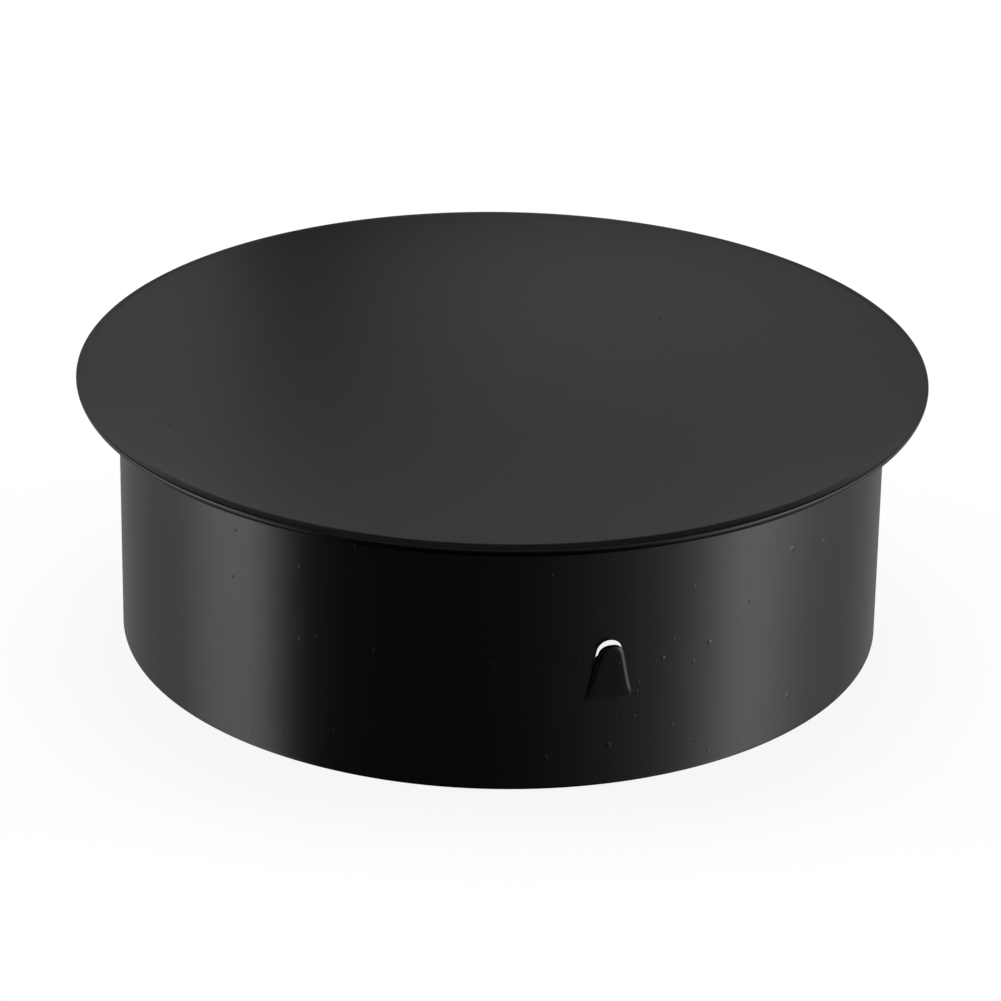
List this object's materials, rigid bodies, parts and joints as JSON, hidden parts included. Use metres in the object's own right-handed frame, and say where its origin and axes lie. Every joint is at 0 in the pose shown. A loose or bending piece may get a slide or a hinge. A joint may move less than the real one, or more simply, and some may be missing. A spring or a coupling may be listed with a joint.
{
  "type": "chimney hole cover",
  "caption": "Round black sheet-steel cover that closes a disused flue hole: flat disc with a folded rim on a short collar with sprung retaining tongues.",
  "frame": {"origin": "on the cover's axis, in the plane of the collar's open end", "axes": "+Z along the axis from the open end to the disc's face; -Y towards the front of the picture, +X to its right"},
  "size_m": [0.132, 0.132, 0.0425],
  "materials": {
    "black_paint": "satin black heat-resistant paint"
  },
  "bodies": {
    "root": {"cover_disc": "black_paint", "collar": "black_paint"}
  },
  "joints": []
}
